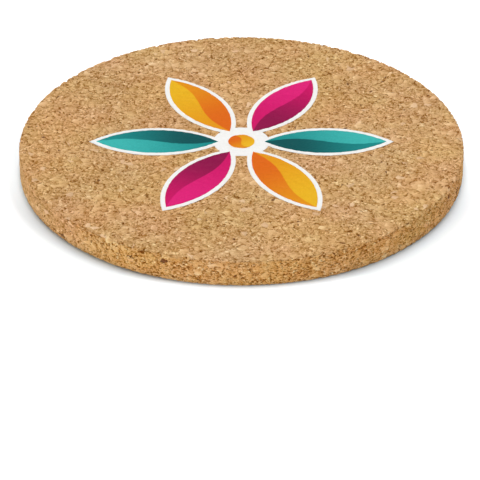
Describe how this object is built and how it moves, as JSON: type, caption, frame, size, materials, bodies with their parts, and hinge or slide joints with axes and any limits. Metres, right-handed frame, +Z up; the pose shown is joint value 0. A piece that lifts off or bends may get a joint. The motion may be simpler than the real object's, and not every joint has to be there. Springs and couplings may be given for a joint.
{
  "type": "cork coaster",
  "caption": "Round cork coaster: a flat die-cut disc of agglomerated cork with a printed rosette on its top face, for standing a cup or glass on.",
  "frame": {"origin": "centre of the underside, on the table", "axes": "+Z up through the middle of the disc, +X through the tip of teal_petal_1"},
  "size_m": [0.095, 0.095, 0.0062],
  "materials": {
    "cork": "bare agglomerated cork, sanded faces and die-cut rim, dry and matte",
    "white_film": "thin white transfer film, satin",
    "teal_ink": "printed ink, satin",
    "magenta_ink": "printed ink, satin",
    "amber_ink": "printed ink, satin"
  },
  "bodies": {
    "root": {"cork_disc": "cork", "white_base_film": "white_film", "teal_petal_1": "teal_ink", "teal_petal_2": "teal_ink", "magenta_petal_1": "magenta_ink", "magenta_petal_2": "magenta_ink", "amber_petal_1": "amber_ink", "amber_petal_2": "amber_ink", "amber_dot": "amber_ink"}
  },
  "joints": []
}
